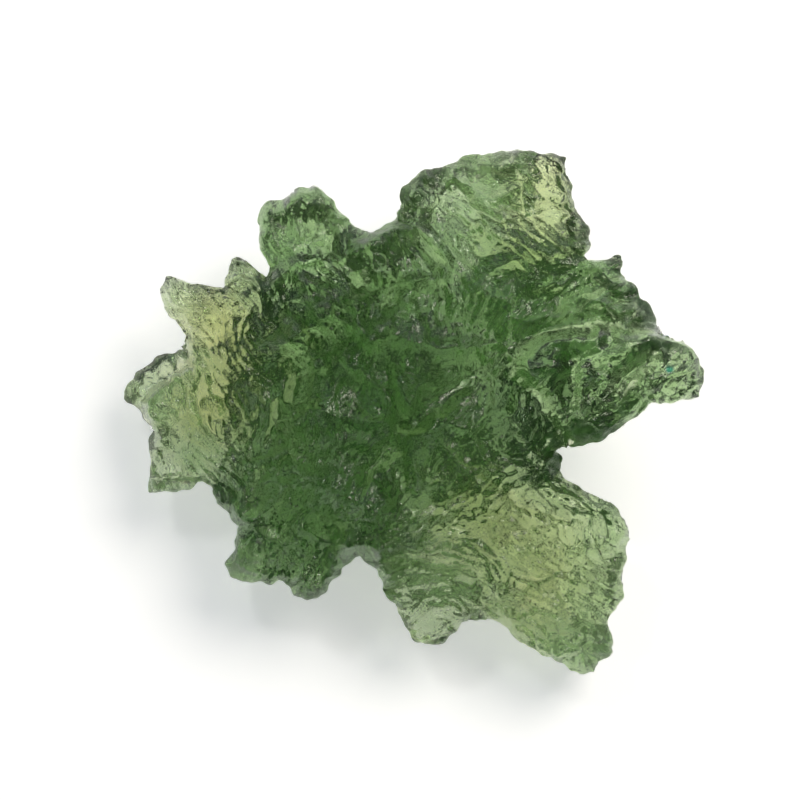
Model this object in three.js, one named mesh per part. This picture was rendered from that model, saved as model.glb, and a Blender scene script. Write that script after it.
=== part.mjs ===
// A natural moldavite of the spiky "hedgehog" kind: one solid piece of green impact glass.
// Units are millimetres, +Z is up. The stone lies as found, with its widest spread in the XY plane.
// The outline seen from above is a closed line through corner points. The upper side is the envelope
// of sloping ridges that run out along the lobes. The underside lies the glass's thickness below a
// softened copy of the upper side, and the stone is worn flat on its feet.
import * as THREE from "three";

// Driving dimensions
const SPREAD = [28.5, 26.1]; // the outline's extent in X and Y
const CELL = 0.46; // spacing of the even lattice that both sides of the stone are worked out on
const LEAST_CUT = 0.15; // the least share of a cell's side that trimming at the outline leaves
const BLEND = 0.3; // how softly neighbouring ridges run into each other
const CREST_RADIUS = 0.35; // rounding of a ridge's crest
const BELLY_REACH = 1.3; // how far around a point the upper side is softened for the underside
const BELLY_LIMIT = 3.9; // the distance past which the softening leaves points out
const BELLY_LIFT = 0.8; // the least height of the underside away from the feet
const FOOT_DEPTH = 1.8; // how far below zero a foot's middle would reach if it weren't worn flat
const LEAST_THICKNESS = 0.9; // the least thickness past the edges
const RIM_SHARE = 0.3; // how far below the upper side the rim lies, as a share of the thickness
const RIM_DROP = 0.7; // how far below the upper side the rim lies at most
const UPPER_EDGE = { least: 0.6, growth: 0.06, bulge: 2.2 }; // width of the edge above the rim
const UNDER_EDGE = { least: 0.35, growth: 0.3, bulge: 2.0 }; // width of the side below the rim
const FLANGE_TOP = 3.9; // height of the thin flange that stands out from under the left front
const FLANGE_STEP = 0.9; // width of the step from the left front down to the flange

const GLASS_GREEN = 0x5f7a46;
const GLASS_ROUGHNESS = 0.25;

// The outline, lobe by lobe, counter-clockwise seen from above.
const LOBES = [
  {
    name: "right, upper edge",
    outline: [
      [14.25, 2.0], [14.1, 2.65], [13.65, 3.3], [13.4, 3.6], [12.85, 3.63], [12.3, 3.95],
      [12.0, 4.7], [11.6, 5.3],
    ],
  },
  {
    name: "upper right",
    outline: [[10.95, 6.1], [10.45, 6.9], [10.55, 7.4], [10.35, 7.7], [9.6, 7.6], [8.6, 7.55]],
  },
  {
    name: "upper",
    outline: [
      [8.85, 8.25], [8.85, 8.95], [8.5, 9.65], [8.15, 10.1], [8.0, 11.05], [7.65, 12.55],
      [7.15, 12.85], [6.45, 12.85], [5.35, 13.05], [4.45, 12.8], [3.05, 12.7], [1.95, 12.3],
      [0.95, 11.9], [0.05, 11.55], [-0.55, 11.05], [-0.62, 10.3], [-0.9, 9.6],
    ],
  },
  {
    name: "upper left",
    outline: [
      [-1.55, 8.9], [-2.05, 8.8], [-2.65, 9.05], [-3.3, 9.75], [-4.05, 10.55], [-4.6, 11.1],
      [-5.75, 11.1], [-6.35, 10.55], [-7.35, 10.0], [-7.5, 9.45], [-7.4, 8.4], [-7.05, 7.55],
      [-6.95, 7.15], [-7.15, 6.6],
    ],
  },
  {
    name: "left horns",
    outline: [
      [-7.6, 7.1], [-8.15, 7.62], [-8.85, 7.5], [-9.05, 6.75], [-9.25, 6.05], [-10.3, 6.25],
      [-11.3, 6.5], [-12.15, 6.65], [-12.5, 6.1], [-12.25, 5.2], [-11.8, 4.55], [-11.25, 3.75],
    ],
  },
  {
    name: "left flange",
    outline: [
      [-11.5, 3.05], [-12.3, 2.75], [-13.05, 2.35], [-13.7, 1.85], [-14.25, 1.0], [-13.55, 0.2],
      [-13.05, -0.95], [-13.05, -2.05], [-13.0, -3.2], [-13.15, -4.1], [-11.95, -4.0],
      [-10.4, -3.45],
    ],
  },
  {
    name: "lower left",
    outline: [
      [-9.9, -3.85], [-9.75, -4.75], [-9.05, -5.05], [-8.75, -5.75], [-8.9, -6.85], [-9.35, -7.6],
      [-9.0, -8.3], [-8.2, -8.6], [-7.05, -8.55], [-6.7, -8.4], [-6.05, -8.55], [-5.85, -9.2],
      [-5.2, -9.6], [-4.3, -9.1], [-3.75, -8.45], [-3.3, -7.55], [-2.55, -7.2],
    ],
  },
  {
    name: "lower right",
    outline: [
      [-1.95, -7.6], [-1.55, -8.35], [-1.1, -9.55], [-0.45, -10.5], [0.35, -11.45], [1.05, -11.65],
      [1.65, -11.55], [2.65, -10.6], [3.45, -10.4], [4.45, -10.65], [5.95, -11.8], [6.7, -12.35],
      [7.95, -12.95], [9.15, -13.05], [10.0, -12.05], [9.8, -10.45], [10.6, -9.4], [10.6, -7.95],
      [10.75, -6.8], [11.05, -6.4], [10.75, -5.35], [10.05, -4.8], [8.95, -4.15], [8.0, -3.5],
      [7.2, -2.95],
    ],
  },
  {
    name: "right, lower edge",
    outline: [
      [7.4, -2.35], [7.0, -1.95], [7.7, -1.75], [8.45, -1.7], [9.45, -1.25], [10.4, -0.9],
      [11.05, -0.35], [11.95, 0.4], [13.05, 0.45], [14.1, 0.7], [14.2, 1.55],
    ],
  },
];

// Ridges of the upper side: how steeply the flanks fall away, and crest points [x, y, z].
const RIDGES = [
  { name: "crown", slope: 0.6, crest: [[-0.55, 3.55, 10.0], [-0.55, 0.55, 10.3], [-2.05, -1.45, 10.0]] },
  {
    name: "upper rib",
    slope: 0.65,
    crest: [[1.45, 3.3, 9.2], [2.95, 6.05, 7.6], [4.05, 9.3, 6.2], [4.45, 12.3, 5.2]],
  },
  {
    name: "upper left edge",
    slope: 0.9,
    crest: [[1.5, 4.55, 8.8], [0.95, 7.3, 7.4], [0, 9.8, 6.4], [-0.4, 10.9, 5.4]],
  },
  { name: "upper right edge", slope: 0.7, crest: [[5.45, 6.8, 7.6], [7.2, 8.9, 6.0], [6.9, 11.6, 5.0]] },
  {
    name: "upper right crest",
    slope: 0.5,
    crest: [[2.95, 5.05, 9.0], [5.7, 6.7, 9.2], [8.6, 7.0, 9.2], [10.2, 7.2, 8.4]],
  },
  { name: "upper right flank", slope: 0.4, crest: [[10.2, 7.2, 8.4], [11.6, 4.8, 8.6]] },
  {
    name: "right crest",
    slope: 0.35,
    crest: [[5.8, 2.2, 9.4], [8.4, 3.0, 9.9], [10.5, 3.0, 10.2], [12.2, 2.6, 9.8], [13.8, 1.8, 8.6]],
  },
  { name: "right shoulder", slope: 0.4, crest: [[7.2, 0.8, 9.2], [9.2, 0.0, 9.0], [11.4, 0.8, 9.2]] },
  {
    name: "upper left crest",
    slope: 0.5,
    crest: [
      [-2.05, 3.05, 10.2], [-3.8, 5.05, 10.6], [-4.9, 7.55, 10.6], [-5.0, 9.8, 9.8], [-5.1, 10.8, 9.0],
    ],
  },
  { name: "upper left outer", slope: 0.5, crest: [[-6.9, 9.3, 8.8], [-6.5, 7.55, 9.2], [-5.8, 5.55, 9.6]] },
  {
    name: "left front",
    slope: 0.5,
    crest: [[-4.05, 1.05, 9.2], [-7.05, 1.55, 7.0], [-9.8, 1.3, 5.9], [-12.2, 0.45, 5.2]],
  },
  {
    name: "left front, lower",
    slope: 0.6,
    crest: [[-5.55, -0.95, 8.0], [-8.55, -1.45, 6.4], [-11.0, -1.95, 5.2]],
  },
  {
    name: "left horn",
    slope: 0.5,
    crest: [[-6.8, 3.05, 7.0], [-9.05, 4.55, 5.7], [-11.05, 5.55, 5.2], [-12.1, 6.3, 4.4]],
  },
  { name: "small horn", slope: 0.8, crest: [[-7.45, 4.8, 6.2], [-8.3, 6.3, 5.2], [-8.45, 7.3, 4.6]] },
  { name: "low horn", slope: 0.6, crest: [[-10.55, -2.7, 4.6], [-12.8, -3.85, 3.6]] },
  { name: "flange", slope: 0.4, crest: [[-12.3, 1.55, 4.2], [-13.95, 1.0, 3.6]] },
  {
    name: "lower left crest",
    slope: 0.9,
    crest: [[-3.55, -1.45, 9.4], [-6.05, -3.45, 8.2], [-7.8, -6.45, 6.9], [-9.0, -7.6, 5.8]],
  },
  {
    name: "lower left second",
    slope: 0.8,
    crest: [[-4.55, -3.45, 8.4], [-5.3, -6.45, 7.0], [-5.2, -9.1, 5.5]],
  },
  { name: "front spike", slope: 1.3, crest: [[-5.55, -2.2, 9.2], [-3.8, -4.05, 10.2], [-2.3, -4.8, 10.6]] },
  {
    name: "lower right shoulder",
    slope: 0.4,
    crest: [
      [-0.55, -0.95, 9.6], [1.45, -1.95, 8.0], [4.45, -3.45, 6.1], [7.45, -5.45, 5.2], [9.9, -6.2, 4.7],
    ],
  },
  {
    name: "lower right spine",
    slope: 0.4,
    crest: [[1.45, -2.95, 7.6], [4.45, -7.45, 5.3], [7.45, -10.45, 4.9], [9.3, -12.3, 4.2]],
  },
  {
    name: "lower tongue",
    slope: 0.6,
    crest: [[-0.55, -4.95, 7.2], [0.2, -7.45, 5.7], [0.95, -9.45, 5.2], [1.15, -11.1, 4.5]],
  },
];

// The right lobe stands over the rest as a terrace: its rise, the width of its step and its edge in plan.
const TERRACE = {
  rise: 2.6,
  step: 0.9,
  edge: [
    [7.4, -3.0], [13.0, -2.0], [15.5, 0.0], [15.5, 3.5], [13.0, 4.3], [11.6, 4.4], [10.6, 4.3], [9.6, 4.7],
    [8.6, 4.4], [7.4, 4.35], [6.4, 4.1], [5.0, 3.4], [4.8, 2.4], [5.3, 1.2], [6.4, 0.2], [7.0, -0.8],
  ],
};

// Folds and hollows of the upper side: half width, rise (below zero for a hollow) and path in plan.
const FOLDS = [
  {
    name: "heart, long ridge",
    width: 0.5,
    rise: 1.2,
    path: [[0.1, 6.2], [-0.9, 4.8], [-2.0, 3.5], [-2.7, 2.7]],
  },
  { name: "heart, left ridge", width: 0.5, rise: 1.2, path: [[-5.9, 4.6], [-5.5, 3.4], [-4.2, 2.2]] },
  { name: "heart, dark pit", width: 0.6, rise: -1.95, path: [[-5.5, 1.6], [-5.3, 0.7]] },
  { name: "heart, upper pit", width: 0.55, rise: -1.65, path: [[-2.2, 6.1]] },
  { name: "heart, upper right pit", width: 0.5, rise: -1.65, path: [[-0.75, 6.1], [-0.95, 5.3]] },
  { name: "heart, bowl", width: 0.8, rise: -1.05, path: [[-3.9, 3.5]] },
  { name: "heart, cliff", width: 0.5, rise: -1.5, path: [[-0.7, 0.0], [-1.1, -1.7], [-2.2, -2.9]] },
  { name: "heart, left valley", width: 0.5, rise: -1.2, path: [[-6.5, 0.2], [-5.9, -1.2], [-5.2, -2.6]] },
  { name: "heart, right valley", width: 0.8, rise: -1.2, path: [[-0.2, -0.6], [1.2, 0.5], [3.2, 1.8]] },
  { name: "upper left, outer pit", width: 0.9, rise: -1.1, path: [[-4.25, 8.95]] },
  { name: "upper left, inner pit", width: 0.8, rise: -0.8, path: [[-4.25, 7.7]] },
  { name: "under the front spike", width: 0.9, rise: -1.5, path: [[-3.95, -5.55]] },
  {
    name: "behind the lower tongue",
    width: 0.5,
    rise: -1.1,
    path: [[-1.3, -7.2], [0.95, -7.7], [3.2, -8.2]],
  },
  { name: "beside the lower tongue", width: 0.5, rise: -0.8, path: [[3.2, -8.2], [3.4, -10.2]] },
  { name: "right, streak", width: 0.5, rise: -1.2, path: [[10.0, 1.2], [11.5, 2.5]] },
  { name: "right, inner band", width: 0.5, rise: -0.7, path: [[7.8, 2.4], [7.6, 0.2]] },
  { name: "left front, edge pit", width: 0.7, rise: -0.6, path: [[-11.8, -1.2]] },
  { name: "left horn, root pit", width: 0.7, rise: -0.6, path: [[-10.2, 3.25]] },
];

// How thick the glass is below the terrace, place by place: reach, thickness and path in plan.
const THICKNESS = [
  { name: "heart", reach: 2.6, thick: 7.5, path: [[-0.6, 3.6], [-0.6, 0.5], [-2.2, -2.0]] },
  { name: "heart, left", reach: 1.5, thick: 7.6, path: [[-5.6, 3.2], [-5.4, 0.4], [-5.0, -2.4]] },
  { name: "left plate", reach: 1.7, thick: 1.9, path: [[-10.0, 0.9], [-8.9, 2.8], [-9.6, 4.6]] },
  { name: "left plate, front", reach: 1.0, thick: 2.7, path: [[-11.4, -0.4], [-9.8, -1.9], [-8.8, -2.8]] },
  { name: "left horn", reach: 1.3, thick: 1.8, path: [[-11.4, 5.8], [-9.4, 5.2], [-8.4, 6.8]] },
  { name: "flange", reach: 0.7, thick: 3.0, path: [[-13.4, 1.2], [-13.1, -0.6], [-12.6, -2.6]] },
  { name: "flange, upper end", reach: 0.6, thick: 3.0, path: [[-12.2, 2.3], [-11.1, 3.0]] },
  { name: "low horn", reach: 0.9, thick: 1.7, path: [[-12.5, -3.5]] },
  { name: "lower left", reach: 2.2, thick: 7.6, path: [[-5.0, -4.6], [-7.4, -6.2]] },
  { name: "lower left, tips", reach: 1.1, thick: 4.4, path: [[-8.7, -7.8], [-6.8, -8.0], [-5.2, -8.9]] },
  { name: "front spike", reach: 1.2, thick: 9.4, path: [[-3.6, -4.2]] },
  { name: "upper left", reach: 1.6, thick: 5.6, path: [[-4.0, 5.8], [-4.6, 7.6]] },
  { name: "upper left, outer", reach: 1.5, thick: 5.8, path: [[-6.5, 8.0], [-6.2, 9.4], [-5.4, 10.4]] },
  { name: "upper notch", reach: 1.2, thick: 6.8, path: [[-2.0, 7.2], [-0.4, 6.6]] },
  { name: "upper, left face", reach: 1.9, thick: 3.8, path: [[1.6, 9.6], [0.6, 10.8]] },
  { name: "upper, right face", reach: 2.3, thick: 2.0, path: [[6.2, 9.4], [7.0, 11.6]] },
  { name: "upper rib", reach: 0.7, thick: 9.0, path: [[4.2, 12.2], [4.6, 10.9]] },
  { name: "upper, root", reach: 1.5, thick: 4.8, path: [[2.4, 7.0], [5.2, 7.6]] },
  { name: "upper right crest", reach: 1.0, thick: 8.4, path: [[5.5, 6.1], [8.4, 6.7], [10.0, 6.8]] },
  { name: "upper right flank", reach: 0.9, thick: 8.0, path: [[8.2, 5.0], [11.2, 4.9]] },
  { name: "right, root", reach: 1.1, thick: 6.4, path: [[4.2, 3.0], [4.5, 1.6]] },
  { name: "right, inner band", reach: 0.6, thick: 4.4, path: [[7.7, 1.4], [7.6, 0.2]] },
  { name: "right, patches", reach: 1.7, thick: 1.3, path: [[6.6, 2.6], [8.0, 3.3], [9.2, 3.1], [11.0, 3.4]] },
  { name: "right, streak", reach: 0.45, thick: 5.0, path: [[10.1, 1.2], [11.2, 2.2]] },
  { name: "right tip", reach: 1.4, thick: 1.4, path: [[12.6, 1.9]] },
  { name: "right, lower band", reach: 1.0, thick: 2.4, path: [[8.4, 0.0], [10.0, 0.4], [11.2, 1.0]] },
  { name: "lower right, shoulder", reach: 1.4, thick: 6.6, path: [[0.6, -2.6], [2.4, -0.9], [5.4, 0.2]] },
  { name: "lower right", reach: 2.4, thick: 2.7, path: [[2.4, -4.6], [5.2, -5.2], [8.2, -6.2], [6.8, -8.4]] },
  { name: "lower right, edge", reach: 0.7, thick: 5.0, path: [[10.3, -7.2], [10.1, -9.0]] },
  { name: "lower right, rings", reach: 1.3, thick: 3.3, path: [[6.0, -10.2]] },
  { name: "lower right, tip", reach: 1.0, thick: 6.4, path: [[9.3, -11.8]] },
  { name: "lower tongue", reach: 1.1, thick: 1.4, path: [[1.0, -9.4], [0.8, -10.7]] },
  { name: "lower tongue, root", reach: 0.55, thick: 10.0, path: [[-1.0, -7.6], [2.6, -8.1]] },
  { name: "under the shoulder", reach: 1.0, thick: 2.0, path: [[1.2, -6.6]] },
];

// Feet that the stone is worn flat on: half width and middle in plan.
const FEET = [
  { name: "heart", width: 1.8, middle: [-0.8, 0.8] },
  { name: "left", width: 1.7, middle: [-5.2, 2.4] },
  { name: "lower left", width: 1.8, middle: [-5.2, -4.6] },
  { name: "shoulder", width: 1.7, middle: [2.4, -1.8] },
  { name: "upper right", width: 1.8, middle: [5.6, 5.2] },
];

// Stretches of the outline where the side stands steeper or slants further in: reach, the share of
// the usual width, and path in plan.
const SIDES = [
  { name: "right, lower side", reach: 1.6, share: 2.6, path: [[7.7, -1.9], [9.5, -1.4], [11.2, -0.3]] },
  { name: "upper right side", reach: 1.6, share: 2.6, path: [[10.6, 7.4], [11.8, 4.8]] },
  { name: "right tip", reach: 1.2, share: 0.4, path: [[13.4, 3.4], [14.2, 1.2]] },
  { name: "right, upper side", reach: 0.9, share: 0.4, path: [[12.6, 3.8], [10.4, 4.6], [8.0, 4.4]] },
  { name: "upper left side", reach: 1.4, share: 0.35, path: [[-5.0, 11.1], [-7.3, 9.8], [-7.2, 7.4]] },
  { name: "lower right shoulder", reach: 1.0, share: 0.35, path: [[7.6, -3.2], [9.2, -4.3], [10.9, -5.8]] },
  { name: "lower right side", reach: 1.1, share: 0.35, path: [[11.0, -6.2], [10.6, -9.4]] },
  { name: "lower right tip", reach: 1.1, share: 0.35, path: [[9.9, -11.5], [9.0, -13.0]] },
  {
    name: "left horns",
    reach: 0.9,
    share: 0.35,
    path: [[-12.4, 6.4], [-11.0, 6.4], [-9.3, 6.2], [-8.3, 7.6]],
  },
  { name: "lower left side", reach: 1.2, share: 0.35, path: [[-9.2, -7.6], [-7.8, -8.6], [-5.2, -9.4]] },
];

// The step from the left front down to the flange, from its upper end to its lower end.
const FLANGE_LINE = [
  [-11.2, 3.65], [-10.55, 2.15], [-11.65, 1.65], [-12.3, 1.25], [-13.0, 0.4], [-12.9, -0.1],
  [-12.25, -1.75], [-11.65, -2.1], [-10.4, -3.4],
];

// The corners of the closed outline.
const CORNERS = LOBES.flatMap((lobe) => lobe.outline);

// Distance in plan from a point to the stretch between two points, and the share along it.
function stretchTo(x, y, a, b) {
  const dx = b[0] - a[0];
  const dy = b[1] - a[1];
  const length2 = dx * dx + dy * dy;
  const along = length2 > 0 ? ((x - a[0]) * dx + (y - a[1]) * dy) / length2 : 0;
  const share = THREE.MathUtils.clamp(along, 0, 1);
  return { share, gap: Math.hypot(x - a[0] - share * dx, y - a[1] - share * dy) };
}

// Neighbouring pairs of a path's points. A path of one point gives that point twice.
function stretches(path) {
  return path.length > 1 ? path.slice(1).map((end, at) => [path[at], end]) : [[path[0], path[0]]];
}

// Distance in plan from a point to a path.
function pathGap(x, y, path) {
  return Math.min(...stretches(path).map(([a, b]) => stretchTo(x, y, a, b).gap));
}

// A bell curve of a distance: 1 at the middle, about a third at the given width.
function bell(gap, width) {
  return Math.exp(-((gap / width) ** 2));
}

// Height of the soft envelope of the ridges over a point of the plan.
function ridgeHeight(x, y) {
  let sum = 0;
  for (const { slope, crest } of RIDGES) {
    for (const [a, b] of stretches(crest)) {
      const { share, gap } = stretchTo(x, y, a, b);
      const crestHeight = THREE.MathUtils.lerp(a[2], b[2], share);
      const drop = slope * (Math.hypot(gap, CREST_RADIUS) - CREST_RADIUS);
      sum += Math.exp((crestHeight - drop) / BLEND);
    }
  }
  return BLEND * Math.log(sum);
}

// Sum of the folds and hollows at a point of the plan.
function foldHeight(x, y) {
  return FOLDS.reduce((sum, { width, rise, path }) => sum + rise * bell(pathGap(x, y, path), width), 0);
}

// Distance of a point from a closed outline in plan, positive inside it.
function innerGap(x, y, corners) {
  let gap = Infinity;
  let inside = false;
  corners.forEach((a, at) => {
    const b = corners[(at + 1) % corners.length];
    gap = Math.min(gap, stretchTo(x, y, a, b).gap);
    const crosses = a[1] > y !== b[1] > y;
    if (crosses && x < THREE.MathUtils.mapLinear(y, a[1], b[1], a[0], b[0])) inside = !inside;
  });
  return inside ? gap : -gap;
}

// Height of the terrace at a point of the plan: it rises over its step's width, from its edge inwards.
function terraceHeight(x, y) {
  return TERRACE.rise * THREE.MathUtils.smoothstep(innerGap(x, y, TERRACE.edge), 0, TERRACE.step);
}

// Share of the step taken at a point of the plan: 0 on the left front, 1 out on the flange.
function flangeShare(x, y) {
  for (const [[upperX, upperY], [lowerX, lowerY]] of stretches(FLANGE_LINE)) {
    if (y <= upperY && y > lowerY) {
      const lineX = THREE.MathUtils.mapLinear(y, upperY, lowerY, upperX, lowerX);
      return THREE.MathUtils.smoothstep(lineX - x, 0, FLANGE_STEP);
    }
  }
  return 0;
}

// The mean of the places' thicknesses at a point of the plan, the nearest places counting the most.
function glassThickness(x, y) {
  let sum = 0;
  let weights = 0;
  for (const { reach, thick, path } of THICKNESS) {
    const weight = bell(pathGap(x, y, path), Math.SQRT2 * reach) + Number.EPSILON;
    sum += weight * thick;
    weights += weight;
  }
  return sum / weights;
}

// How far the underside is drawn down at the feet, from 0 to 1.
function footShare(x, y) {
  return Math.max(...FEET.map(({ width, middle }) => bell(Math.hypot(x - middle[0], y - middle[1]), width)));
}

// The share of the usual width that the side takes near a point of the plan.
function sideShare(x, y) {
  const changes = SIDES.map(({ reach, share, path }) => (share - 1) * bell(pathGap(x, y, path), reach));
  return 1 + Math.max(...changes) + Math.min(...changes);
}

// 0 on the outline and 1 past the edge's width, which grows with the thickness. A larger bulge gives
// a fuller edge.
function edgeShare(gap, thickness, { least, growth, bulge }) {
  return 1 - (1 - THREE.MathUtils.clamp(gap / (least + growth * thickness), 0, 1)) ** bulge;
}

// The mean of a lattice's values around each point, row by row and then column by column, weighted
// by a bell curve of the distance.
function softened(values, columns, rows) {
  const reach = Math.ceil(BELLY_LIMIT / CELL);
  const meanAlong = (source, step, count, placeOf) =>
    source.map((_, at) => {
      let sum = 0;
      let weights = 0;
      for (let shift = -reach; shift <= reach; shift++) {
        const place = placeOf(at) + shift;
        if (place < 0 || place >= count) continue;
        const weight = bell(shift * CELL, Math.SQRT2 * BELLY_REACH);
        sum += weight * source[at + shift * step];
        weights += weight;
      }
      return sum / weights;
    });
  const alongRows = meanAlong(values, 1, columns, (at) => at % columns);
  return meanAlong(alongRows, columns, rows, (at) => Math.floor(at / columns));
}

// Heights of the upper side, the underside and the rim at every point of the lattice.
function stoneSides(plan, gaps, columns, rows) {
  const points = gaps.map((gap, at) => ({ x: plan.getX(at), y: plan.getY(at), gap }));
  const terraces = points.map(({ x, y }) => terraceHeight(x, y));
  const tops = points.map(({ x, y }, at) => {
    const ridged = ridgeHeight(x, y) + terraces[at] + foldHeight(x, y);
    return THREE.MathUtils.lerp(ridged, FLANGE_TOP, flangeShare(x, y));
  });
  const soft = softened(tops.map((top, at) => top - terraces[at]), columns, rows);
  return points.map(({ x, y, gap }, at) => {
    const lift = Math.max(soft[at] - glassThickness(x, y), BELLY_LIFT);
    const under = Math.max(THREE.MathUtils.lerp(lift, -FOOT_DEPTH, footShare(x, y)), 0);
    const top = Math.max(tops[at], under + LEAST_THICKNESS);
    const thickness = top - under;
    const rim = top - Math.min(RIM_SHARE * thickness, RIM_DROP);
    const closing = edgeShare(gap, sideShare(x, y) * thickness, UNDER_EDGE);
    const lower = THREE.MathUtils.lerp(rim, under, closing);
    const upper = THREE.MathUtils.lerp(rim, top, edgeShare(gap, thickness, UPPER_EDGE));
    return { upper: Math.max(upper, lower + closing * LEAST_THICKNESS), lower, rim };
  });
}

// The corners of one triangle of the lattice that lie inside the outline, and a new corner wherever
// one of its sides crosses the outline.
function trimmed(triangle, gaps) {
  const kept = [];
  triangle.forEach((from, at) => {
    const to = triangle[(at + 1) % triangle.length];
    if (gaps[from] > 0) kept.push([from]);
    if (gaps[from] > 0 !== gaps[to] > 0) kept.push([Math.min(from, to), Math.max(from, to)]);
  });
  return kept;
}

// The whole stone: an even lattice in plan, trimmed at the outline and raised to the upper side, and
// again to the underside. Both share the points on the outline, so the stone is closed.
function stoneGeometry() {
  const [acrossX, acrossY] = SPREAD.map((extent) => Math.ceil(extent / CELL) + 2);
  const lattice = new THREE.PlaneGeometry(acrossX * CELL, acrossY * CELL, acrossX, acrossY);
  const plan = lattice.getAttribute("position");
  const least = LEAST_CUT * CELL;
  const gaps = Array.from({ length: plan.count }, (_, at) => {
    const gap = innerGap(plan.getX(at), plan.getY(at), CORNERS);
    return Math.sign(gap) * Math.max(Math.abs(gap), least);
  });
  const sides = stoneSides(plan, gaps, acrossX + 1, acrossY + 1);
  const points = [];
  const places = new Map();

  // The place of a corner in the list of points. A corner on the outline has one for both sides.
  function placeOf(corner, side) {
    const onOutline = corner.length > 1;
    const key = onOutline ? corner.join(",") : `${corner[0]} ${side}`;
    if (!places.has(key)) {
      const [from, to] = onOutline ? corner : [corner[0], corner[0]];
      const share = onOutline ? gaps[from] / (gaps[from] - gaps[to]) : 0;
      const height = onOutline ? "rim" : side;
      places.set(key, points.length);
      points.push([
        THREE.MathUtils.lerp(plan.getX(from), plan.getX(to), share),
        THREE.MathUtils.lerp(plan.getY(from), plan.getY(to), share),
        THREE.MathUtils.lerp(sides[from][height], sides[to][height], share),
      ]);
    }
    return places.get(key);
  }

  const faces = [];
  const index = lattice.getIndex();
  for (let i = 0; i < index.count; i += 3) {
    const corners = trimmed([index.getX(i), index.getX(i + 1), index.getX(i + 2)], gaps);
    for (let last = 2; last < corners.length; last++) {
      const [a, b, c] = [corners[0], corners[last - 1], corners[last]];
      faces.push(placeOf(a, "upper"), placeOf(b, "upper"), placeOf(c, "upper"));
      faces.push(placeOf(a, "lower"), placeOf(c, "lower"), placeOf(b, "lower"));
    }
  }
  const stone = new THREE.BufferGeometry();
  stone.setAttribute("position", new THREE.Float32BufferAttribute(points.flat(), 3));
  stone.setIndex(faces);
  stone.computeBoundingBox();
  const middle = stone.boundingBox.getCenter(new THREE.Vector3());
  stone.translate(-middle.x, -middle.y, -stone.boundingBox.min.z);
  stone.computeVertexNormals();
  return stone;
}

const glass = new THREE.MeshStandardMaterial({
  color: GLASS_GREEN,
  roughness: GLASS_ROUGHNESS,
  metalness: 0,
});
const moldavite = new THREE.Mesh(stoneGeometry(), glass);
moldavite.name = "moldavite";

const part = new THREE.Group();
part.add(moldavite);

export default part;
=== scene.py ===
"""A natural moldavite, a spiky piece of green impact glass, on a pale studio floor.

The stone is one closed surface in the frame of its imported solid. Shapes are worked out in millimetres
and put into the mesh in metres.
"""

import bpy
import numpy as np
from bpy.props import FloatProperty, FloatVectorProperty, PointerProperty
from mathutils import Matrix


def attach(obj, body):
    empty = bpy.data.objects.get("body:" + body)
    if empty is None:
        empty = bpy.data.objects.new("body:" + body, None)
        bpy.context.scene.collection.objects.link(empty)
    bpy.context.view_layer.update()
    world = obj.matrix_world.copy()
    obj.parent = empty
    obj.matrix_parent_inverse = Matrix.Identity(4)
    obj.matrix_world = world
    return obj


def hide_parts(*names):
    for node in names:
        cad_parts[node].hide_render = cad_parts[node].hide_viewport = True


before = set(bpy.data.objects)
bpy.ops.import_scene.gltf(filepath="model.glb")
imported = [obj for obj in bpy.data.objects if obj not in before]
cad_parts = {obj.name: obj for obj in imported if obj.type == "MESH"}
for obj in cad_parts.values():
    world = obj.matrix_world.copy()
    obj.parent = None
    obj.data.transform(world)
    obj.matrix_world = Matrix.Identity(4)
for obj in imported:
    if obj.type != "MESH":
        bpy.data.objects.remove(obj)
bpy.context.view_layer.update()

bl_info = {
    "name": "Moldavite",
    "version": (1, 0, 0),
    "blender": (4, 5, 0),
    "location": "3D View > Sidebar > Moldavite",
    "description": "Builds an etched natural glass stone and the stage it lies on",
    "category": "Add Mesh",
}

MM = 0.001
NODE = "moldavite"
STAIN = "stain"

# The photograph's frame: its side in pixels and how many of them cover a millimetre.
PHOTO_SIDE = 800
PIXELS_PER_MM = 20.0
PHOTO_MIDDLE = (-0.55, 0.55)

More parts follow.
